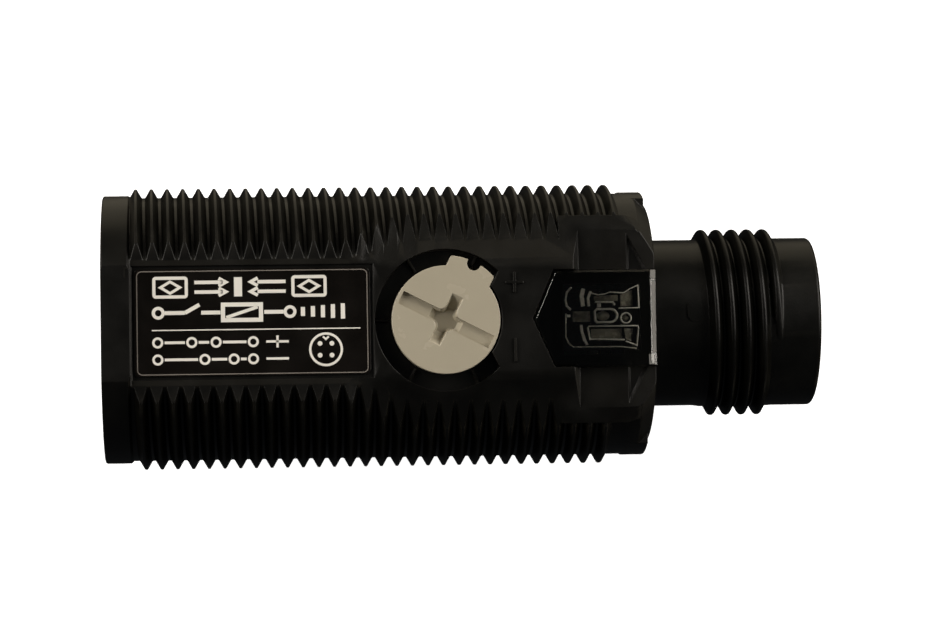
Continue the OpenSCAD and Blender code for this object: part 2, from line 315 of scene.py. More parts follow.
def eased(outline, radius):
    """The outline with each corner over the least angle, in degrees, rounded off."""
    least = 25
    points = []
    count = len(outline)
    for i in range(count):
        here = Vector(outline[i])
        to_before = Vector(outline[i - 1]) - here
        to_after = Vector(outline[(i + 1) % count]) - here
        if math.degrees(math.pi - to_before.angle(to_after)) < least:
            points.append(tuple(here))
            continue
        start = here + to_before.normalized() * min(radius, to_before.length * 0.45)
        end = here + to_after.normalized() * min(radius, to_after.length * 0.45)
        for step in range(4):
            t = step / 3
            points.append(tuple(start * (1 - t) ** 2 + here * 2 * t * (1 - t) + end * t ** 2))
    return points


def clean(piece):
    """Dissolves slivers that booleans leave and splits big faces into triangles."""
    work = bmesh.new()
    work.from_mesh(piece.data)
    bmesh.ops.dissolve_degenerate(work, edges=work.edges, dist=SLIVER)
    bmesh.ops.triangulate(work, faces=work.faces)
    work.to_mesh(piece.data)
    work.free()
    return piece


def bevel(piece, width, segments=2, angle=32):
    """Rounds off the edges that are sharper than the angle, in degrees."""
    clean(piece)
    step = piece.modifiers.new("edges", "BEVEL")
    step.width = width
    step.segments = segments
    step.limit_method = "ANGLE"
    step.angle_limit = math.radians(angle)
    step.use_clamp_overlap = False
    apply_modifiers(piece)
    return piece


def moved(piece, offset, turn):
    """Turns a piece about Z and then moves it."""
    piece.data.transform(Matrix.Translation(offset) @ Matrix.Rotation(turn, 4, "Z"))
    return piece


def thread_ridge(crest, root, flat, corner, fillet):
    """Ridge profile: flat crest, rounded corners, straight flanks and hollow fillets.

    The fillets dip a little below the root, so that they cross its surface at a clear angle.
    """
    flank = math.radians(30)
    lean = math.pi / 2 - flank
    dip = 0.006
    sunk = 0.12
    edge = flat / 2 + corner * math.tan(lean / 2)
    foot = edge + (crest - root) * math.tan(flank)
    end = foot + fillet * math.tan(lean / 2)
    half = arc((flat / 2, crest - corner), corner, math.pi / 2, flank, 3)
    half += arc((end, root + fillet - dip), fillet, math.pi + flank, math.pi * 1.5, 4)
    half.append((end, root - sunk))
    return [(-x, r) for x, r in reversed(half)] + half


# ---------------------------------------------------------------- barrel
def facet_cutter(side):
    """Space above one sloping facet, which grows out of the flat beside the dial.

    Its edge on the flat is eased by a short middle slope.
    """
    ease = 0.25
    reach = 8
    above = FLAT_Z + 3
    steps = 10
    sections = []
    for k in range(steps + 2):
        x = FACET_START + FACET_RUN * k / steps if k <= steps else SLACK * 2
        drop = math.tan(FACET_SLOPE) * (1 - max(0, 1 - k / steps) ** 2)
        outline = [(FACET_Y - ease, FLAT_Z), (FACET_Y + ease, FLAT_Z - ease * drop),
                   (FACET_Y + reach, FLAT_Z - reach * drop), (FACET_Y + reach, above),
                   (FACET_Y - ease, above)]
        sections.append([(x, side * y, z) for y, z in outline])
    return loft(sections)


def barrel_core():
    """Collar, thread root, tail and tapered rear end as one turned solid."""
    collar = [(0, 0), (0, COLLAR_R - 0.12), (0.04, COLLAR_R - 0.035), (0.12, COLLAR_R),
              (COLLAR_END - 0.15, COLLAR_R), (COLLAR_END, ROOT_R)]
    tail = [(THREAD_END - 0.1, ROOT_R), (THREAD_END, TAIL_R), (TAPER_START - 0.05, TAIL_R),
            (TAPER_START + 0.04, TAIL_R - 0.02), (BARREL_END - 0.05, TAPER_END_R + 0.04),
            (BARREL_END, TAPER_END_R - 0.03), (BARREL_END, 0)]
    return turned(collar + tail)


def clear_wedge():
    """Fills the thread beside the window and slopes down to the tail behind it."""
    sunk_r = 7.5
    outline = [(CLEAR_START, sunk_r), (CLEAR_START, CLEAR_R), (CLEAR_END, CLEAR_R),
               (TAPER_START, TAIL_R - 0.05), (TAPER_START, sunk_r)]
    steps = 24
    rings = []
    for i in range(steps + 1):
        turn = math.pi / 2 + CLEAR_ANGLE * (2 * i / steps - 1)
        rings.append([(x, r * math.cos(turn), r * math.sin(turn)) for x, r in outline])
    return loft(rings)


def ears():
    """Full-radius pieces left and right of the taper."""
    ear = turned([(TAPER_START - 0.5, 0), (TAPER_START - 0.5, TAIL_R), (EAR_END, TAIL_R), (EAR_END, 0)])
    level_slab = block((0, -SLACK, -EAR_HALF_Z), (SLACK * 2, SLACK, EAR_HALF_Z))
    return combine(ear, level_slab, "INTERSECT")


def recess_outline():
    """The dial's turning space. Its stop walls are parallel to the tab's sides."""
    half = TAB_W / 2 + STOP_GAP
    far = math.asin(half / RECESS_R)
    near = math.asin(half / RECESS_SIDE_R)
    first = DIAL_REST
    last = DIAL_REST + DIAL_TRAVEL
    return (arc((DIAL_X, 0), RECESS_R, first - far, last + far, 72)
            + arc((DIAL_X, 0), RECESS_SIDE_R, last + near, first - near + 2 * math.pi, 24))


def window_outline(shrink=0.0):
    """Five-sided outline. Its front and sides move in by about the shrink."""
    tip = window_low[0] + shrink * 1.3
    corner = WINDOW_CORNER + shrink * 0.6
    end = window_high[0]
    half = PAD_Y - shrink
    return [(tip, 0), (corner, -half), (end, -half), (end, half), (corner, half)]


def pad_cutter(side):
    """Low pad with its front ramp, beside the window."""
    above = FLAT_Z + 0.3
    outline = [(PAD_RAMP, above), (PAD_START, PAD_Z), (SLACK * 2, PAD_Z), (SLACK * 2, above)]
    return loft([[(x, side * y, z) for x, z in outline] for y in (PAD_Y, SLACK)])


def pocket_cutter(side):
    """Space of the three-cornered pocket in the pad, with two sloping walls."""
    floor = [(33.0, 2.9), (33.98, 2.9), (33.0, 4.85)]
    rim = [(32.86, 2.9), (34.2, 2.9), (32.86, 5.4)]
    levels = [(floor, PAD_Z - POCKET_DEPTH), (rim, PAD_Z), (rim, PAD_Z + 3)]
    return loft([[(x, side * y, z) for x, y in outline] for outline, z in levels])


def recess_ridge(number):
    """One of the five low radial ridges on the recess floor."""
    low = RECESS_FLOOR - 0.1
    top = RECESS_FLOOR + 0.22
    ridge = loft([[(x, -0.17, low), (x, 0.17, low), (x, 0.04, top), (x, -0.04, top)]
                  for x in (3.55, 4.5)])
    return moved(ridge, (DIAL_X, 0, 0), DIAL_REST + number * DIAL_TRAVEL / 4)


def dial_spaces():
    """The recess, the hole for the dial's shaft and the wider seat of its O-ring."""
    recess = upright(recess_outline(), RECESS_FLOOR, SLACK)
    holes = [upright(circle((DIAL_X, 0), radius, 48), low, SLACK)
             for radius, low in ((SHAFT_R + 0.05, 4), (1.75, RECESS_FLOOR - 0.55))]
    return [recess] + holes


def window_spaces():
    """The window's seat, open at the rear, and the room for the light guide below it."""
    return [upright(window_outline(), WINDOW_FLOOR, SLACK),
            block((window_high[0] - 0.01, -PAD_Y, WINDOW_FLOOR), (SLACK * 2, PAD_Y, SLACK)),
            block((28.9, -2.2, 4), (32.6, 2.2, SLACK)),
            block((32, -1.95, 5.55), (33.75, 2.2, SLACK))]


def inner_spaces():
    """Lens seat, front bore, electronics bay and rear opening."""
    front = turned([(-1, 0), (-1, LENS_R), (LENS_SEAT, LENS_R), (LENS_SEAT, BORE_R), (BAY_START, BORE_R),
                    (BAY_START, 0)])
    bay = turned([(BAY_START - 0.5, 0), (BAY_START - 0.5, BORE_R), (REAR_WALL, BORE_R), (REAR_WALL, 0)])
    ceiling = block((0, -SLACK, BAY_CEILING), (SLACK * 2, SLACK, SLACK))
    rear = turned([(REAR_WALL - 0.5, 0), (REAR_WALL - 0.5, NECK_R + 0.01), (SLACK * 2, NECK_R + 0.01),
                   (SLACK * 2, 0)])
    return [front, cut(bay, ceiling), rear]


def label_pocket():
    gap = 0.18
    return block((plate_low[0] - gap / 2, plate_low[1] - gap, plate_low[2]),
                 (plate_high[0] + gap, plate_high[1] + gap, SLACK))


def barrel():
    """Threaded barrel with its flats, facets, pockets and inner spaces."""
    body = barrel_core()
    ridge = thread_ridge(CREST_R, ROOT_R, 0.08, 0.06, 0.13)
    add(body, helix_ridge(ridge, FIRST_CREST, -0.3, THREAD_TURNS, 50))
    add(body, clear_wedge(), ears())
    cut(body, facet_cutter(1), facet_cutter(-1))
    cut(body, block((-1, -SLACK, COLLAR_FLAT_Z), (COLLAR_END, SLACK, SLACK)))
    cut(body, block((COLLAR_END, -SLACK, FLAT_Z), (SLACK * 2, SLACK, SLACK)))
    cut(body, label_pocket(), *dial_spaces())
    cut(body, *window_spaces())
    cut(body, pad_cutter(1), pad_cutter(-1), pocket_cutter(1), pocket_cutter(-1))
    cut(body, *inner_spaces())
    return bevel(body, 0.045, 2, 38)


def surface_marks():
    """Plus and minus signs beside the dial, an angled line on the collar and the recess ridges."""
    x = DIAL_X + 4.3
    top = FLAT_Z + 0.12
    low = FLAT_Z - 0.05
    plus = add(block((x - 0.58, 2.2, low), (x + 0.58, 2.36, top)),
               block((x - 0.08, 1.62, low), (x + 0.08, 2.95, top)))
    minus = block((x - 0.08, -2.72, low), (x + 0.08, -1.2, top))
    line = band([(1.75, 3.4), (1.5, 3.4), (1.5, 2.8)], 0.1, COLLAR_FLAT_Z - 0.05, COLLAR_FLAT_Z + 0.02)
    signs = [bevel(mark, 0.06, 3) for mark in (plus, minus)]
    return join(signs + [bevel(line, 0.02)] + [recess_ridge(number) for number in range(5)])


# ---------------------------------------------------------------- plug end
def plug():
    """Flange, neck with its seal groove, threaded end and socket."""
    flange_r = BORE_R - 0.05
    groove_r = NECK_R - 0.4
    outline = [(FLANGE_START, flange_r), (REAR_WALL, flange_r), (REAR_WALL, NECK_R), (33.75, NECK_R),
               (33.75, groove_r), (34.35, groove_r), (34.35, NECK_R),
               (NECK_END, NECK_R), (NECK_END + 0.5, PLUG_ROOT_R), (42.6, PLUG_ROOT_R), (42.8, RIM_R)]
    outline += [(TOTAL - 0.25 + x, r) for r, x in arc((RIM_R - 0.25, 0), 0.25, 0, math.pi / 2, 5)]
    outline += [(TOTAL, SOCKET_R + 0.15), (TOTAL - 0.15, SOCKET_R), (SOCKET_FLOOR, SOCKET_R)]
    outline += [(REAR_WALL, SOCKET_R), (FLANGE_START, SOCKET_R)]
    body = turned(outline)
    key = block((SOCKET_FLOOR, -0.65, SOCKET_R - 0.55), (TOTAL - 0.6, 0.65, SOCKET_R + 0.3))
    add(body, bevel(key, 0.08))
    cut(body, block((FLANGE_START - 1, -SLACK, BAY_CEILING - 0.02), (REAR_WALL + 0.5, SLACK, SLACK)))
    bevel(body, 0.04)
    ridge = thread_ridge(PLUG_CREST_R, PLUG_ROOT_R, 0.03, 0.18, 0.06)
    add(body, helix_ridge(ridge, PLUG_FIRST_CREST, -0.42, 4.38, 110))
    return add(body, mould_mark())


def mould_mark():
    """Faint raised corner line on the neck, as a mould insert leaves."""
    inward = NECK_R - 0.1
    proud = NECK_R + 0.06
    line = [(36.87, 80), (36.87, 85), (36.89, 89), (36.97, 90.6), (37.17, 91.4), (37.52, 91.6)]
    rings = []
    for x, degrees in line:
        turn = math.radians(degrees)
        lean = math.radians(max(0, degrees - 89) / 2.6 * 90)
        across = 0.05 * math.cos(lean)
        lift = 0.009 * math.sin(lean)
        rings.append([(x - across, inward * math.cos(turn - lift), inward * math.sin(turn - lift)),
                      (x + across, inward * math.cos(turn + lift), inward * math.sin(turn + lift)),
                      (x + across, proud * math.cos(turn + lift), proud * math.sin(turn + lift)),
                      (x - across, proud * math.cos(turn - lift), proud * math.sin(turn - lift))])
    return loft(rings)


def insert():
    """Contact carrier with holes for the pins and a centre recess."""
    outline = [(32.6, 0), (32.6, SOCKET_R - 0.02), (SOCKET_FLOOR - 0.1, SOCKET_R - 0.02),
               (SOCKET_FLOOR, SOCKET_R - 0.12), (SOCKET_FLOOR, 1.1), (SOCKET_FLOOR - 0.3, 0.95),
               (SOCKET_FLOOR - 0.3, 0)]
    body = turned(outline)
    for number in range(4):
        y, z = pin_place(number)
        shank = turned([(31, 0), (31, 0.75), (TOTAL, 0.75), (TOTAL, 0)], 32)
        shank.data.transform(Matrix.Translation((0, y, z)))
        cut(body, shank)
    return body


def pin_place(number):
    turn = math.pi / 4 + math.pi / 2 * number
    return PIN_CIRCLE_R * math.cos(turn), PIN_CIRCLE_R * math.sin(turn)


def pin(number):
    """Gold contact: solder tail, shank flush with the insert, pin and rounded tip."""
    outline = [(31.6, 0), (31.6, 0.24), (31.66, 0.3), (32.6, 0.3), (32.6, 0.74), (SOCKET_FLOOR - 0.05, 0.74),
               (SOCKET_FLOOR, 0.68), (SOCKET_FLOOR, PIN_R)]
    outline += [(PIN_TIP - PIN_R + x, r) for r, x in arc((0, 0), PIN_R, 0, math.pi / 2, 8)]
    outline[-1] = (PIN_TIP, 0)
    body = turned(outline, 32)
    y, z = pin_place(number)
    body.data.transform(Matrix.Translation((0, y, z)))
    return body


# ---------------------------------------------------------------- dial
def dial_outline():
    """The dial's round rim, its wide tab and the half-round notch in the tab, which lies along X."""
    notch_r = 0.43
    side = math.asin(TAB_W / 2 / DIAL_R)
    tab = math.asin(TAB_W / 2 / TAB_R)
    mouth = math.asin(notch_r / TAB_R)
    outline = arc((0, 0), DIAL_R, side, 2 * math.pi - side, 72)
    outline += arc((0, 0), TAB_R, -tab, -mouth, 4)
    outline += arc((3.9, 0), notch_r, math.pi * 1.5, math.pi / 2, 10)
    outline += arc((0, 0), TAB_R, mouth, tab, 4)
    return eased(outline, 0.07)


def cross_outline(long_arm, short_arm, half, fillet):
    """Four arms about the centre with well rounded inner corners. The long ones lie along X."""
    outline = []
    for quarter, reach in enumerate((long_arm, short_arm, long_arm, short_arm)):
        turn = quarter * math.pi / 2
        arm = [(reach, -half), (reach, half)]
        arm += arc((half + fillet, half + fillet), fillet, -math.pi / 2, -math.pi, 6)
        outline += [(x * math.cos(turn) - y * math.sin(turn), x * math.sin(turn) + y * math.cos(turn))
                    for x, y in arm]
    return outline


def cross_cutter():
    """Screwdriver recess: the arms get shorter and narrower with depth."""
    levels = [(1.7, 1.36, 0.38, 0.5, FLAT_Z + 0.5), (1.66, 1.32, 0.37, 0.5, FLAT_Z),
              (1.3, 1.05, 0.31, 0.46, FLAT_Z - 0.4), (0.8, 0.75, 0.27, 0.4, FLAT_Z - 0.85)]
    return loft([[(x, y, z) for x, y in cross_outline(long_arm, short_arm, half, fillet)]
                 for long_arm, short_arm, half, fillet, z in levels])


def slot_cutter():
    """Driver slot across the tab's direction, a little deeper in the middle."""
    reach = 3.15
    half = 0.43
    rings = []
    steps = 16
    for i in range(steps + 1):
        y = reach * (2 * i / steps - 1)
        depth = 0.26 + 0.14 * (1 - (y / reach) ** 2)
        rings.append([(-half, y, FLAT_Z + 1), (half, y, FLAT_Z + 1), (half, y, FLAT_Z - depth),
                      (-half, y, FLAT_Z - depth)])
    return loft(rings)


def dial():
    """Head with its tab, cross recess and driver slot, and a grooved shaft with a key below it."""
    head = upright(dial_outline(), DIAL_BOTTOM, FLAT_Z)
    shaft = turned([(0, 0), (0, SHAFT_R), (1.75, SHAFT_R), (1.82, SHAFT_R - 0.2), (2.08, SHAFT_R - 0.2),
                    (2.15, SHAFT_R), (2.9, SHAFT_R), (2.9, 0)], 48)
    shaft.data.transform(Matrix.Translation((0, 0, rotor_high[2])) @ Matrix.Rotation(-math.pi / 2, 4, "Y"))
    key = block((-SHAFT_R + 0.1, -0.32, rotor_high[2] - 0.85), (SHAFT_R - 0.1, 0.32, rotor_high[2] + 0.1))
    add(head, shaft, key)
    cut(head, cross_cutter())
    bevel(head, 0.05, 3, 35)
    cut(head, slot_cutter())
    return moved(head, (DIAL_X, 0, 0), DIAL_REST)


# ---------------------------------------------------------------- nameplate
PRINT_LOW = plate_high[2] - 0.004
PRINT_HIGH = plate_high[2] + 0.012


def rounded_frame(low, high, radius):
    """Closed line of a rectangle with round corners."""
    corners = [(high[0], low[1], -90), (high[0], high[1], 0), (low[0], high[1], 90), (low[0], low[1], 180)]
    line = []
    for x, y, start in corners:
        centre = (x - radius if x == high[0] else x + radius, y + radius if y == low[1] else y - radius)
        line += arc(centre, radius, math.radians(start), math.radians(start + 90), 5)
    return line


def nameplate():
    inset = 0.02
    outline = rounded_frame((plate_low[0] + inset, plate_low[1] + inset),
                            (plate_high[0] - inset, plate_high[1] - inset), 0.35)
    return bevel(upright(outline, plate_low[2], plate_high[2]), 0.02, 1)


def plate_border():
    line = rounded_frame((plate_low[0] + 0.24, plate_low[1] + 0.15),
                         (plate_high[0] - 0.2, plate_high[1] - 0.15), 0.3)
    return band(line, 0.06, PRINT_LOW, PRINT_HIGH, True)


def stroke(points, width=0.2, closed=False):
    return band(points, width, PRINT_LOW, PRINT_HIGH, closed)


def ring(x, y, radius, width, steps=32):
    return stroke(circle((x, y), radius, steps), width, True)


def spot(x, y, radius):
    return upright(circle((x, y), radius, 24), PRINT_LOW, PRINT_HIGH)


def sensor_symbol(x, y):
    """A box with a diamond in it."""
    return [stroke(rounded_frame((x - 1, y - 0.58), (x + 1, y + 0.58), 0.12), 0.2, True),
            stroke([(x - 0.6, y), (x, y + 0.36), (x + 0.6, y), (x, y - 0.36)], 0.17, True)]


def beam_symbols():
    """Top row: two sensor boxes, light arrows between them and a target in the middle."""
    mid = 2.2
    pieces = sensor_symbol(4.3, mid) + sensor_symbol(12.9, mid)
    pieces.append(upright([(8.25, 1.6), (8.75, 1.6), (8.75, 2.8), (8.25, 2.8)], PRINT_LOW, PRINT_HIGH))
    for start, end, barb, tip in ((5.8, 7.55, 7.3, 7.75), (9.7, 11.45, 9.72, 9.28)):
        for y in (mid - 0.3, mid + 0.3):
            pieces.append(stroke([(start, y), (end, y)], 0.22))
            pieces.append(stroke([(barb, y + 0.24), (tip, y), (barb, y - 0.24)], 0.2))
    return pieces


def switch_symbols():
    """Second row: supply line with a switch, a load, two terminals and five rising bars."""
    mid = 0.62
    pieces = [ring(3.55, mid, 0.3, 0.2), stroke([(3.95, mid), (5.2, mid)], 0.24),
              stroke([(5.2, mid), (6.1, mid + 0.5)], 0.24), stroke([(6.2, mid), (7.4, mid)], 0.24),
              stroke([(7.55, mid - 0.48), (9.9, mid - 0.48), (9.9, mid + 0.48), (7.55, mid + 0.48)],
                     0.26, True),
              stroke([(7.75, mid - 0.32), (9.7, mid + 0.32)], 0.2),
              stroke([(10.1, mid), (11.3, mid)], 0.24), ring(11.7, mid, 0.3, 0.2)]
    for k in range(5):
        x = 12.5 + k * 0.62
        height = 0.28 + 0.05 * k
        pieces.append(stroke([(x, mid - height), (x, mid + height)], 0.26))
    return pieces


def wiring_symbols():
    """Lower rows: two wires with terminals and signs, and the four-pin plug seen from its face."""
    pieces = [stroke([(3.15, -0.45), (16.05, -0.45)], 0.07)]
    for y, gaps in ((-1.22, (3.5, 5.6, 7.1, 9.4)), (-2.28, (3.5, 6.4, 8.2, 9.4))):
        for start, end in zip(gaps, gaps[1:]):
            pieces.append(stroke([(start + 0.42, y), (end - 0.42, y)], 0.17))
        for x in gaps:
            pieces.append(ring(x, y, 0.27, 0.15))
    pieces.append(stroke([(10.2, -1.22), (11.6, -1.22)], 0.15))
    pieces.append(stroke([(10.9, -0.85), (10.9, -1.6)], 0.15))
    pieces.append(stroke([(10.2, -2.28), (11.6, -2.28)], 0.15))
    pieces.append(ring(13.9, -1.75, 0.98, 0.15, 40))
    for k in range(4):
        turn = math.pi / 4 + k * math.pi / 2
        pieces.append(spot(13.9 + 0.52 * math.cos(turn), -1.75 + 0.52 * math.sin(turn), 0.15))
    pieces.append(stroke([(13.72, -0.95), (13.9, -1.12), (14.08, -0.95)], 0.12))
    return pieces


def plate_print():
    return join(beam_symbols() + switch_symbols() + wiring_symbols())


# ---------------------------------------------------------------- window and light guide
def window():
    """Clear five-sided cover with a bevelled top edge and a sloping rear edge."""
    gap = 0.05
    top_gap = 0.22
    levels = [(gap, WINDOW_FLOOR), (gap, FLAT_Z - 0.2), (top_gap, FLAT_Z - 0.03)]
    slab = loft([[(x, y, z) for x, y in window_outline(shrink)] for shrink, z in levels])
    end = window_high[0]
    rear = loft([[(end - 0.47, y, FLAT_Z + 0.5), (end - 0.42, y, FLAT_Z), (end, y, FLAT_Z - 0.3),
                  (end + 1, y, FLAT_Z - 0.6), (end + 1, y, FLAT_Z + 0.5)] for y in (-SLACK, SLACK)])
    cut(slab, rear)
    return bevel(slab, 0.03, 2, 20)


def rear_edge_steps():
    """Pale moulded steps on the window's sloping rear edge."""
    end = window_high[0]
    pieces = []
    for low, high, back, front in ((2.42, 2.98, 0.36, 0.0),
                                   (-2.24, 2.36, 0.31, 0.02),
                                   (-2.97, -2.3, 0.53, 0.12)):
        section = []
        for x in (end - back, end - front):
            section.append((x, FLAT_Z + 0.01 - max(0, x - end + 0.42) * 0.7))
        section += [(x, z - 0.25) for x, z in reversed(section)]
        pieces.append(bevel(loft([[(x, y, z) for x, z in section] for y in (low, high)]), 0.03, 2))
    return join(pieces)


def guide_block():
    """Body of the light guide below the window, with its two legs over the lamps."""
    low = node_box("light_guide")[0]
    top = block((28.98, -1.95, BAY_CEILING - 0.3), (32.5, 2.15, 5.62))
    for side in (-1, 1):
        leg = loft([[(x0, side * y0, z), (x1, side * y0, z), (x1, side * y1, z), (x0, side * y1, z)]
                    for x0, x1, y0, y1, z in ((low[0] + 0.3, 30.7, 0.55, 1.75, low[2] + 0.02),
                                              (low[0] + 0.1, 31.2, 0.5, 1.85, 4.4),
                                              (low[0] + 0.1, 31.6, 0.5, 1.95, 5.3))])
        add(top, leg)
    return bevel(top, 0.05, 2)


def guide_rims_painted_glint():
    """Moulded rims on the guide, which show through the window. Their pale colour is a painted glint.

    Each row has the rim's line, its width, its top and whether it is closed.
    """
    low = 5.6
    lamp_rim = arc((31.86, 0.2), 0.41, math.pi / 2, -math.pi / 2, 8)
    lamp_rim += [(31.0, -0.22), (30.9, -0.1), (30.86, 0.48), (30.98, 0.6)]
    rims = [
        ([(29.42, 2.02), (29.12, 1.7), (29.03, 1.2), (29.1, 0.85), (29.36, 0.58)], 0.13, 5.95, False),
        ([(29.05, 0.38), (29.03, -1.1), (29.2, -1.5), (29.5, -1.75), (32.5, -1.76), (33.5, -1.88)],
         0.08, 5.86, False),
        ([(30.18, 1.92), (30.06, 1.45), (30.14, 0.8)], 0.24, 6.0, False),
        ([(30.62, 1.74), (30.46, 1.3), (30.5, 0.8)], 0.16, 6.0, False),
        ([(30.7, 1.62), (31.1, 1.52), (31.5, 1.56), (31.85, 1.68), (32.7, 1.62), (33.15, 1.9), (33.62, 2.1),
          (33.66, 0.68), (32.4, 0.66)], 0.07, 6.0, False),
        ([(30.9, 1.06), (32.02, 1.05), (32.16, 0.86)], 0.1, 6.02, False),
        (lamp_rim, 0.13, 6.06, True),
        (circle((32.83, 0.04), 0.32, 16), 0.09, 6.0, True),
        ([(30.44, -0.46), (33.56, -0.46), (33.6, -0.56), (33.5, -1.7), (32.8, -1.42)], 0.08, 6.0, False),
        ([(30.42, -0.5), (30.54, -1.26), (32.72, -1.32)], 0.1, 5.94, False),
        ([(30.0, -0.36), (30.04, -0.8), (30.2, -1.3), (30.36, -1.62)], 0.16, 5.98, False),
    ]
    pieces = [band(line, width, low, high, closed) for line, width, high, closed in rims]
    pieces.append(block((29.1, 0.12, low), (29.32, 0.3, 5.98)))
    pieces.append(block((31.02, 0.74, low), (31.26, 0.98, 6.0)))
    return join([bevel(piece, 0.03, 2) for piece in pieces])


def guide_fields():
    """Sloping faces and two low domes between the rims."""
    # Each row has a face's outline and the heights of its two ends along X
    fields = [
        ([(30.85, 1.44), (32.35, 1.52), (32.35, 1.12), (30.85, 1.14)], 5.72, 5.84),
        ([(32.5, 1.5), (33.3, 1.82), (33.3, 0.78), (32.5, 0.78)], 5.86, 5.66),
        ([(30.62, -0.62), (32.6, -0.62), (32.6, -1.2), (30.62, -1.18)], 5.82, 5.7),
        ([(32.7, -0.6), (33.3, -0.62), (33.2, -1.45), (32.8, -1.3)], 5.86, 5.66),
        ([(29.5, 0.5), (30.6, 0.5), (30.6, -0.16), (29.5, -0.16)], 5.72, 5.72),
    ]
    pieces = []
    for outline, left_z, right_z in fields:
        top = [(x, y, left_z if k in (0, 3) else right_z) for k, (x, y) in enumerate(outline)]
        pieces.append(loft([[(x, y, 5.58) for x, y in outline], top]))
    for x, y, reach in ((31.42, 0.2, 0.36), (32.84, 0.04, 0.2)):
        rings = []
        for size, z in ((1.0, 5.58), (1.0, 5.72), (0.85, 5.83), (0.5, 5.9), (0.12, 5.92)):
            rings.append([(x + 1.15 * px, y + 0.85 * py, z)
                          for px, py in circle((0, 0), reach * size, 24)])
        pieces.append(loft(rings))
    return join([bevel(piece, 0.02, 1) for piece in pieces])


def lamp(name):
    """Small lamp: a low base, a narrower body and a bevelled top."""
    low, high = node_box(name)
    mid_x = (low[0] + high[0]) / 2
    mid_y = (low[1] + high[1]) / 2
    half_x = (high[0] - low[0]) / 2
    half_y = (high[1] - low[1]) / 2
    rings = []
    for size, z in ((1.0, low[2]), (1.0, low[2] + 0.28), (0.86, low[2] + 0.3), (0.82, high[2] - 0.12),
                    (0.74, high[2] - 0.03), (0.6, high[2])):
        rings.append([(mid_x + half_x * size * sx, mid_y + half_y * size * sy, z)
                      for sx, sy in ((-1, -1), (1, -1), (1, 1), (-1, 1))])
    return bevel(loft(rings), 0.03, 2)


# ---------------------------------------------------------------- front lens
def lens():
    """Flange in the seat, and a smooth dome towards the receiver."""
    aperture = 5.6
    curve = 7.5
    centre = LENS_SEAT - math.sqrt(curve ** 2 - aperture ** 2)
    outline = [(0.02, 0), (0.02, 5.4), (0.1, 5.55), (0.1, 6.9), (0.05, 7.0), (0.05, LENS_R - 0.14),
               (0.12, LENS_R - 0.03), (1.33, LENS_R - 0.03), (1.35, LENS_R - 0.1), (1.35, aperture + 0.04)]
    reach = math.asin(aperture / curve)
    outline += [(centre + curve * math.cos(reach * (1 - k / 16)), curve * math.sin(reach * (1 - k / 16)))
                for k in range(17)]
    outline[-1] = (centre + curve, 0)
    return turned(outline)


def smooth(piece, angle=50):
    """Smooth shading that keeps flat faces flat up to their rounded edges."""
    piece.data.polygons.foreach_set("use_smooth", [True] * len(piece.data.polygons))
    piece.data.set_sharp_from_angle(angle=math.radians(angle))
    step = piece.modifiers.new("normals", "WEIGHTED_NORMAL")
    step.keep_sharp = True
    step.weight = 80
    apply_modifiers(piece)


def finish_piece(piece, name, body, material, nodes=()):
    """Scales a piece to metres and says what it stands for."""
    smooth(piece)
    piece.name = name
    piece.data.name = name
    piece.data.transform(Matrix.Scale(MM, 4))
    piece.data.materials.clear()
    piece.data.materials.append(material)
    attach(piece, body)
    if nodes:
        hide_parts(*nodes)
    return piece


# ---------------------------------------------------------------- materials
class Nodes:
    """Short way to add and join shader nodes."""

    def __init__(self, name):
        self.material = bpy.data.materials.new(name)
        self.material.use_nodes = True
        self.tree = self.material.node_tree
        self.tree.nodes.clear()

    def add(self, kind, **values):
        node = self.tree.nodes.new(kind)
        for key, value in values.items():
            setattr(node, key, value)
        return node

    def link(self, source, target):
        self.tree.links.new(source, target)

    def noise(self, place, scale, detail):
        node = self.add("ShaderNodeTexNoise")
        node.inputs["Scale"].default_value = scale
        node.inputs["Detail"].default_value = detail
        self.link(place, node.inputs["Vector"])
        return node.outputs["Fac"]

    def spread(self, source, low, high, from_low=0.3, from_high=0.7):
        """Maps the range from_low to from_high onto the range low to high, with nothing beyond it."""
        node = self.add("ShaderNodeMapRange")
        for key, value in (("From Min", from_low), ("From Max", from_high),
                           ("To Min", low), ("To Max", high)):
            node.inputs[key].default_value = value
        self.link(source, node.inputs["Value"])
        return node.outputs["Result"]

    def lean_along_x(self):
        """Size of the surface normal's X part: high on thread flanks, low on flats and cylinders."""
        parts = self.add("ShaderNodeSeparateXYZ")
        self.link(self.add("ShaderNodeTexCoord").outputs["Normal"], parts.inputs[0])
        size = self.add("ShaderNodeMath", operation="ABSOLUTE")
        self.link(parts.outputs["X"], size.inputs[0])
        return size.outputs[0]

    def mix(self, share, first, second):
        """Mix of two colours. The share and the colours are sockets or constants."""
        node = self.add("ShaderNodeMix", data_type="RGBA")
        for socket, value in ((node.inputs[0], share), (node.inputs[6], first), (node.inputs[7], second)):
            if isinstance(value, bpy.types.NodeSocket):
                self.link(value, socket)
            else:
                socket.default_value = value
        return node.outputs[2]


def rgba(colour, share=1.0):
    return (colour[0] * share, colour[1] * share, colour[2] * share, 1.0)


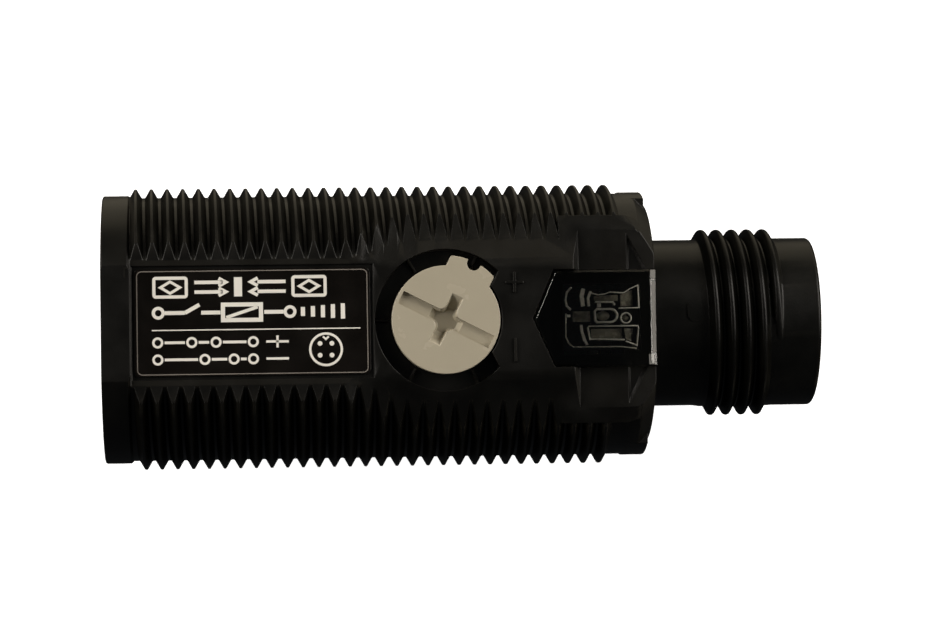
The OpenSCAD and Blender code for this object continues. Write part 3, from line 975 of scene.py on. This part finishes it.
def surface(name, colour, rough, grain, depth, vary, edge_highlight=None, edge_highlight_share=0.0, flank=1.0, **sockets):
    """Moulded or plated surface: cloudy colour, fine grain, uneven gloss and a painted highlight on sharp
    edges.

    The grain is in waves per millimetre and its depth in millimetres. The flank is the share of the
    shine that is left on faces that lean along X, as thread flanks do.
    """
    nodes = Nodes(name)
    place = nodes.add("ShaderNodeTexCoord").outputs["Object"]
    scaled = nodes.add("ShaderNodeVectorMath", operation="SCALE")
    scaled.inputs["Scale"].default_value = 1 / MM
    nodes.link(place, scaled.inputs[0])
    place = scaled.outputs[0]
    clouds = nodes.noise(place, 0.45, 4.0)
    fine = nodes.noise(place, grain, 3.0)
    tint = nodes.mix(nodes.spread(clouds, 0, 1), rgba(colour, 1 - vary), rgba(colour, 1 + vary))
    tint = nodes.mix(nodes.spread(fine, 0, 0.6, 0.45, 0.75), tint, rgba(colour, 1 + 2.2 * vary))
    # Sharp edges, found by pointiness, get a paler colour: a painted edge highlight.
    if edge_highlight:
        edge = nodes.add("ShaderNodeNewGeometry").outputs["Pointiness"]
        tint = nodes.mix(nodes.spread(edge, 0, edge_highlight_share, 0.52, 0.6), tint, rgba(edge_highlight))
    shader = nodes.add("ShaderNodeBsdfPrincipled")
    nodes.link(tint, shader.inputs["Base Color"])
    nodes.link(nodes.spread(clouds, rough * 0.86, rough * 1.14), shader.inputs["Roughness"])
    for key, value in sockets.items():
        shader.inputs[key.replace("_", " ")].default_value = value
    if flank < 1:
        shine = shader.inputs["Specular IOR Level"]
        full = shine.default_value
        nodes.link(nodes.spread(nodes.lean_along_x(), full, full * flank, 0.08, 0.5), shine)
    bump = nodes.add("ShaderNodeBump")
    bump.inputs["Strength"].default_value = 0.6
    bump.inputs["Distance"].default_value = depth * MM
    nodes.link(fine, bump.inputs["Height"])
    nodes.link(bump.outputs["Normal"], shader.inputs["Normal"])
    output = nodes.add("ShaderNodeOutputMaterial")
    nodes.link(shader.outputs[0], output.inputs["Surface"])
    return nodes.material


def clear_cover(name, tint, rough):
    """Clear plastic that shows what is behind it, with a mirror-like surface."""
    nodes = Nodes(name)
    place = nodes.add("ShaderNodeTexCoord").outputs["Object"]
    scratches = nodes.noise(place, 900.0, 3.0)
    through = nodes.add("ShaderNodeBsdfTransparent")
    through.inputs["Color"].default_value = rgba(tint)
    gloss = nodes.add("ShaderNodeBsdfAnisotropic")
    gloss.inputs["Color"].default_value = (1, 1, 1, 1)
    nodes.link(nodes.spread(scratches, rough * 0.7, rough * 1.5), gloss.inputs["Roughness"])
    fresnel = nodes.add("ShaderNodeFresnel")
    fresnel.inputs["IOR"].default_value = 1.49
    mix = nodes.add("ShaderNodeMixShader")
    nodes.link(fresnel.outputs[0], mix.inputs[0])
    nodes.link(through.outputs[0], mix.inputs[1])
    nodes.link(gloss.outputs[0], mix.inputs[2])
    output = nodes.add("ShaderNodeOutputMaterial")
    nodes.link(mix.outputs[0], output.inputs["Surface"])
    return nodes.material


def all_materials():
    """One material per slot of the record."""
    return {
        # The pale edge colours given to the barrel and plug here are painted edge highlights.
        "barrel_plastic": surface("barrel_plastic", (0.0018, 0.0017, 0.0012), 0.36, 9, 0.009, 0.3,
                                  (0.03, 0.027, 0.021), 0.2, 0.35, Specular_IOR_Level=0.48),
        "plug_plastic": surface("plug_plastic", (0.0018, 0.0018, 0.0014), 0.34, 9, 0.008, 0.3,
                                (0.03, 0.027, 0.021), 0.05, 0.12, Specular_IOR_Level=0.44),
        "label_film": surface("label_film", (0.0022, 0.0014, 0.0008), 0.34, 10, 0.008, 0.5,
                              Specular_IOR_Level=0.36),
        "dial_plastic": surface("dial_plastic", (0.44, 0.4, 0.31), 0.26, 20, 0.002, 0.03),
        "window_acrylic": clear_cover("window_acrylic", (0.93, 0.93, 0.91), 0.05),
        "guide_acrylic": surface("guide_acrylic", (0.2, 0.19, 0.16), 0.12, 3, 0.06, 0.8),
        "lens_acrylic": surface("lens_acrylic", (0.9, 0.92, 0.94), 0.04, 8, 0.0003, 0.02,
                                Transmission_Weight=1.0, IOR=1.49),
        "seal_rubber": surface("seal_rubber", (0.012, 0.012, 0.012), 0.7, 25, 0.004, 0.2),
        "inner_plastic": surface("inner_plastic", (0.015, 0.015, 0.015), 0.55, 15, 0.006, 0.2),
        "board_laminate": surface("board_laminate", (0.015, 0.12, 0.05), 0.35, 6, 0.004, 0.2),
        "diode_resin": surface("diode_resin", (0.06, 0.012, 0.02), 0.15, 20, 0.001, 0.2),
        "tinned_steel": surface("tinned_steel", (0.62, 0.62, 0.6), 0.3, 10, 0.003, 0.1, Metallic=1.0),
        "gold_contact": surface("gold_contact", (0.83, 0.6, 0.24), 0.22, 12, 0.002, 0.1, Metallic=1.0),
        "chip_resin": surface("chip_resin", (0.02, 0.02, 0.021), 0.6, 20, 0.006, 0.15),
        "ceramic_parts": surface("ceramic_parts", (0.3, 0.2, 0.12), 0.5, 12, 0.004, 0.25),
        "trimmer_plastic": surface("trimmer_plastic", (0.04, 0.08, 0.22), 0.45, 15, 0.005, 0.15),
        "rotor_plastic": surface("rotor_plastic", (0.7, 0.66, 0.56), 0.45, 15, 0.004, 0.08),
        "orange_lamp": surface("orange_lamp", (0.75, 0.24, 0.02), 0.15, 15, 0.001, 0.1),
        "green_lamp": surface("green_lamp", (0.06, 0.42, 0.1), 0.15, 15, 0.001, 0.1),
        "wire_brown": surface("wire_brown", (0.15, 0.05, 0.015), 0.5, 15, 0.004, 0.15),
        "wire_white": surface("wire_white", (0.75, 0.74, 0.7), 0.5, 15, 0.004, 0.08),
        "wire_blue": surface("wire_blue", (0.03, 0.08, 0.4), 0.5, 15, 0.004, 0.15),
        "wire_black": surface("wire_black", (0.015, 0.015, 0.015), 0.5, 15, 0.004, 0.2),
    }


# ---------------------------------------------------------------- studio
def aim(thing, place, target):
    way = Vector(target) - Vector(place)
    thing.location = place
    thing.rotation_euler = way.to_track_quat("-Z", "Y").to_euler()


def soft_light(name, place, size, radiance, colour, target=(0.023, 0, 0)):
    """Rectangular light. Its brightness doesn't depend on its size, and the camera doesn't see it."""
    lamp_data = bpy.data.lights.new(name, "AREA")
    lamp_data.shape = "RECTANGLE"
    lamp_data.size, lamp_data.size_y = size
    lamp_data.energy = radiance * math.pi * size[0] * size[1]
    lamp_data.color = colour
    lamp_object = bpy.data.objects.new(name, lamp_data)
    bpy.context.scene.collection.objects.link(lamp_object)
    lamp_object.visible_camera = False
    aim(lamp_object, place, target)


def backdrop(material):
    """Pale floor that rises smoothly to walls far away."""
    level = -CREST_R * MM - 0.0002
    flat_r = 1.2
    bend_r = 0.8
    outline = [(0.001, 0)]
    outline += arc((flat_r, bend_r), bend_r, -math.pi / 2, 0, 12)
    outline += [(flat_r + bend_r, 3.0)]
    steps = 64
    verts = [(0, 0, level)]
    for radius, height in outline:
        for i in range(steps):
            turn = 2 * math.pi * i / steps
            verts.append((radius * math.cos(turn), radius * math.sin(turn), level + height))
    faces = [[0, 1 + i, 1 + (i + 1) % steps] for i in range(steps)]
    for k in range(len(outline) - 1):
        a = 1 + k * steps
        for i in range(steps):
            j = (i + 1) % steps
            faces.append([a + i, a + j, a + steps + j, a + steps + i])
    floor = new_piece("studio_floor", verts, faces)
    smooth(floor, 60)
    floor.data.materials.append(material)
    floor.visible_diffuse = False
    floor.visible_glossy = False
    floor.visible_shadow = False


def pale_floor():
    """White sheet with a glow of its own, so that it stays even."""
    nodes = Nodes("studio_floor")
    shader = nodes.add("ShaderNodeBsdfPrincipled")
    shader.inputs["Base Color"].default_value = (0.9, 0.9, 0.9, 1)
    shader.inputs["Roughness"].default_value = 0.9
    shader.inputs["Emission Color"].default_value = (1, 1, 1, 1)
    shader.inputs["Emission Strength"].default_value = 0.97
    output = nodes.add("ShaderNodeOutputMaterial")
    nodes.link(shader.outputs[0], output.inputs["Surface"])
    return nodes.material


def studio():
    backdrop(pale_floor())
    soft_light("plug_end", (0.36, 0.12, 0.17), (0.36, 0.24), 6.2, (1.0, 0.94, 0.86))
    soft_light("front_end", (-0.31, 0.12, 0.17), (0.36, 0.24), 6.2, (1.0, 0.94, 0.86))
    soft_light("window_side", (0.023, 0.42, 0.36), (0.7, 0.35), 0.11, (1.0, 0.9, 0.68))
    soft_light("table", (0.023, 0.14, -0.0091), (0.5, 0.25), 0.4, (1.0, 0.88, 0.64), (0.023, 0.14, 1.0))
    soft_light("table_end", (0.2, 0.05, -0.0091), (0.26, 0.3), 0.7, (1.0, 0.9, 0.7), (0.2, 0.05, 1.0))
    world = bpy.data.worlds.new("studio")
    world.use_nodes = True
    world.node_tree.nodes["Background"].inputs["Color"].default_value = (0.9, 0.95, 1.0, 1)
    world.node_tree.nodes["Background"].inputs["Strength"].default_value = 0.022
    bpy.context.scene.world = world
    bpy.context.scene.view_settings.view_transform = "Standard"


def camera():
    """The photograph's view: nearly straight down, from a little towards the front end and -Y."""
    tilt_y = math.radians(4.2)
    tilt_x = math.radians(3.1)
    roll = math.radians(0.73)
    distance = 224.2
    aim_x = 23.74
    shift_up = 0.57
    turn = Matrix.Rotation(roll, 3, "Z") @ Matrix.Rotation(tilt_y, 3, "Y") @ Matrix.Rotation(-tilt_x, 3, "X")
    back = turn.transposed()
    place = Vector((aim_x, 0, 0)) + back @ Vector((0, shift_up, distance))
    lens_data = bpy.data.cameras.new("camera")
    lens_data.sensor_width = 36
    lens_data.lens = 131.87
    lens_data.clip_start = 0.01
    view = bpy.data.objects.new("camera", lens_data)
    bpy.context.scene.collection.objects.link(view)
    view.matrix_world = Matrix.Translation(place * MM) @ back.to_4x4()
    bpy.context.scene.camera = view


# ---------------------------------------------------------------- build
def build_pieces(look):
    body = "sensor_body"
    finish_piece(barrel(), "barrel", body, look["barrel_plastic"], ["housing"])
    finish_piece(surface_marks(), "barrel_marks", body, look["barrel_plastic"])
    finish_piece(plug(), "plug", body, look["plug_plastic"], ["connector_body"])
    finish_piece(insert(), "plug_insert", body, look["inner_plastic"], ["connector_insert"])
    for number in range(4):
        finish_piece(pin(number), f"pin_{number + 1}", body, look["gold_contact"],
                     [f"contact_pin_{number + 1}"])
    finish_piece(dial(), "dial", "adjuster", look["dial_plastic"], ["adjuster_dial"])
    finish_piece(nameplate(), "label", body, look["label_film"], ["nameplate"])
    border = surface("label_border", (0.2, 0.18, 0.16), 0.5, 30, 0.001, 0.1)
    finish_piece(plate_border(), "label_border", body, border)
    ink = surface("label_ink", (0.84, 0.82, 0.76), 0.55, 30, 0.001, 0.04)
    finish_piece(plate_print(), "label_print", body, ink)
    finish_piece(window(), "window", body, look["window_acrylic"], ["indicator_window"])
    edge = surface("window_edge", (0.035, 0.033, 0.028), 0.34, 6, 0.03, 0.6)
    finish_piece(rear_edge_steps(), "window_edge", body, edge)
    clear_guide = clear_cover("guide_clear", (0.35, 0.35, 0.33), 0.12)
    finish_piece(guide_block(), "guide", body, clear_guide, ["light_guide"])
    # The rims' pale colour is a painted glint: it stands in for bright specular edges on the clear rims.
    rims = surface("guide_rims_painted_glint", (0.75, 0.73, 0.66), 0.16, 6, 0.01, 0.25)
    finish_piece(guide_rims_painted_glint(), "guide_rims_painted_glint", body, rims)
    finish_piece(guide_fields(), "guide_fields", body, look["guide_acrylic"])
    finish_piece(lamp("led_operation"), "lamp_operation", body, look["orange_lamp"],
                 ["led_operation"])
    finish_piece(lamp("led_stability"), "lamp_stability", body, look["green_lamp"],
                 ["led_stability"])
    finish_piece(lens(), "lens", body, look["lens_acrylic"], ["front_lens"])


def dress_cad_nodes(look):
    """Gives each CAD node that stays in view its slot's material."""
    for part in frame["record"]["subparts"]:
        node = frame["nodes"][part["node"]]
        node.data.materials.clear()
        node.data.materials.append(look[part["material_slot"]])


look = all_materials()
build_pieces(look)
dress_cad_nodes(look)
studio()
camera()
